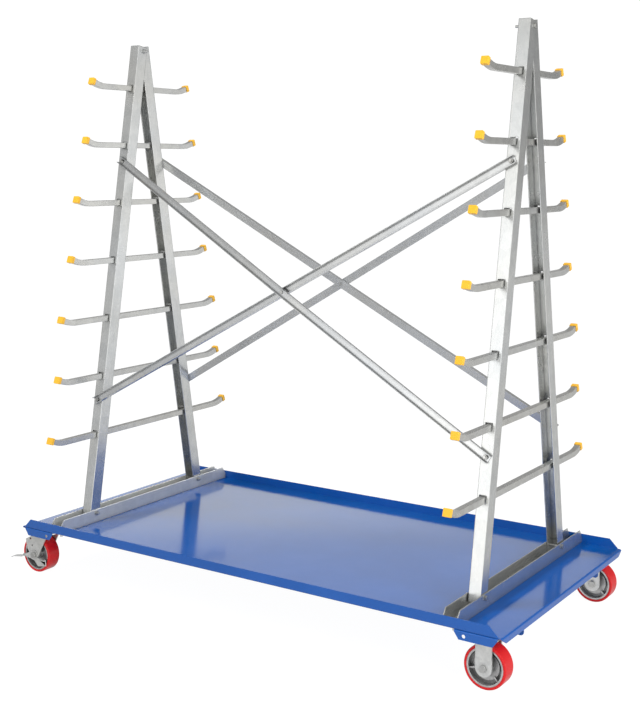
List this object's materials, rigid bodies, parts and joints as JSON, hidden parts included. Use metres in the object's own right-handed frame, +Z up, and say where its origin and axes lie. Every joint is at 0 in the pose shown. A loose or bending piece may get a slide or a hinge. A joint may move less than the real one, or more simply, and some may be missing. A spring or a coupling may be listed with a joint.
{
  "type": "cantilever rack",
  "caption": "Mobile cantilever rack: two A-frames with turned-up cross arms and crossed braces on a folded steel tray with rigid and braked swivel casters.",
  "frame": {"origin": "on the floor, directly below the centre of the tray", "axes": "+X along the tray from the swivel casters towards the rigid casters, +Y from the front to the rear, +Z up"},
  "size_m": [1.8944, 0.957, 1.848],
  "materials": {
    "zinc_channel": "galvanised, satin",
    "arm_tube": "galvanised, satin",
    "brace_steel": "galvanised, satin",
    "tray_paint": "glossy powder coat",
    "bracket_paint": "glossy powder coat",
    "cap_plastic": "moulded, glossy",
    "tread_urethane": "moulded polyurethane, satin",
    "wheel_iron": "as cast, painted grey",
    "caster_zinc": "bright zinc plate",
    "fastener_zinc": "bright zinc plate"
  },
  "bodies": {
    "rack": {"tray": "tray_paint", "caster_bracket_front_left": "bracket_paint", "caster_bracket_front_right": "bracket_paint", "caster_bracket_rear_left": "bracket_paint", "caster_bracket_rear_right": "bracket_paint", "base_channel_left": "zinc_channel", "base_channel_right": "zinc_channel", "leg_front_left": "zinc_channel", "leg_rear_left": "zinc_channel", "leg_front_right": "zinc_channel", "leg_rear_right": "zinc_channel", "arm_left_1": "arm_tube", "arm_left_2": "arm_tube", "arm_left_3": "arm_tube", "arm_left_4": "arm_tube", "arm_left_5": "arm_tube", "arm_left_6": "arm_tube", "arm_left_7": "arm_tube", "arm_right_1": "arm_tube", "arm_right_2": "arm_tube", "arm_right_3": "arm_tube", "arm_right_4": "arm_tube", "arm_right_5": "arm_tube", "arm_right_6": "arm_tube", "arm_right_7": "arm_tube", "arm_end_caps": "cap_plastic", "brace_front_outer": "brace_steel", "brace_front_inner": "brace_steel", "brace_rear_outer": "brace_steel", "brace_rear_inner": "brace_steel", "base_anchor_bolts": "fastener_zinc", "frame_bolts": "fastener_zinc", "brace_bolts": "fastener_zinc", "brace_rivets": "fastener_zinc", "caster_studs": "fastener_zinc", "rigid_fork_front": "caster_zinc", "rigid_fork_rear": "caster_zinc", "swivel_plate_front": "caster_zinc", "swivel_plate_rear": "caster_zinc", "rigid_axle_bolts": "fastener_zinc", "rigid_axle_sleeves": "fastener_zinc", "kingpins": "fastener_zinc", "ball_races": "fastener_zinc"},
    "swivel_front": {"swivel_fork_front": "caster_zinc", "swivel_axle_bolt_front": "fastener_zinc", "swivel_axle_sleeve_front": "fastener_zinc"},
    "brake_front": {"brake_lever_front": "caster_zinc"},
    "swivel_rear": {"swivel_fork_rear": "caster_zinc", "swivel_axle_bolt_rear": "fastener_zinc", "swivel_axle_sleeve_rear": "fastener_zinc"},
    "brake_rear": {"brake_lever_rear": "caster_zinc"},
    "wheel_front_right": {"wheel_core_front_right": "wheel_iron", "wheel_tread_front_right": "tread_urethane"},
    "wheel_front_left": {"wheel_core_front_left": "wheel_iron", "wheel_tread_front_left": "tread_urethane"},
    "wheel_rear_right": {"wheel_core_rear_right": "wheel_iron", "wheel_tread_rear_right": "tread_urethane"},
    "wheel_rear_left": {"wheel_core_rear_left": "wheel_iron", "wheel_tread_rear_left": "tread_urethane"}
  },
  "joints": [
    {"name": "swivel_front_turn", "type": "hinge", "parent": "rack", "child": "swivel_front", "pos_m": [-0.849, -0.4016, 0.15], "axis": [0, 0, 1], "continuous": true},
    {"name": "wheel_front_left_roll", "type": "hinge", "parent": "swivel_front", "child": "wheel_front_left", "pos_m": [-0.881, -0.4016, 0.0635], "axis": [0, 1, 0], "continuous": true},
    {"name": "brake_front_press", "type": "hinge", "parent": "swivel_front", "child": "brake_front", "pos_m": [-0.881, -0.4016, 0.0635], "axis": [0, -1, 0], "range_deg": [0, 20]},
    {"name": "wheel_front_right_roll", "type": "hinge", "parent": "rack", "child": "wheel_front_right", "pos_m": [0.849, -0.4016, 0.0635], "axis": [0, 1, 0], "continuous": true},
    {"name": "swivel_rear_turn", "type": "hinge", "parent": "rack", "child": "swivel_rear", "pos_m": [-0.849, 0.4016, 0.15], "axis": [0, 0, 1], "continuous": true},
    {"name": "wheel_rear_left_roll", "type": "hinge", "parent": "swivel_rear", "child": "wheel_rear_left", "pos_m": [-0.881, 0.4016, 0.0635], "axis": [0, 1, 0], "continuous": true},
    {"name": "brake_rear_press", "type": "hinge", "parent": "swivel_rear", "child": "brake_rear", "pos_m": [-0.881, 0.4016, 0.0635], "axis": [0, -1, 0], "range_deg": [0, 20]},
    {"name": "wheel_rear_right_roll", "type": "hinge", "parent": "rack", "child": "wheel_rear_right", "pos_m": [0.849, 0.4016, 0.0635], "axis": [0, 1, 0], "continuous": true}
  ]
}
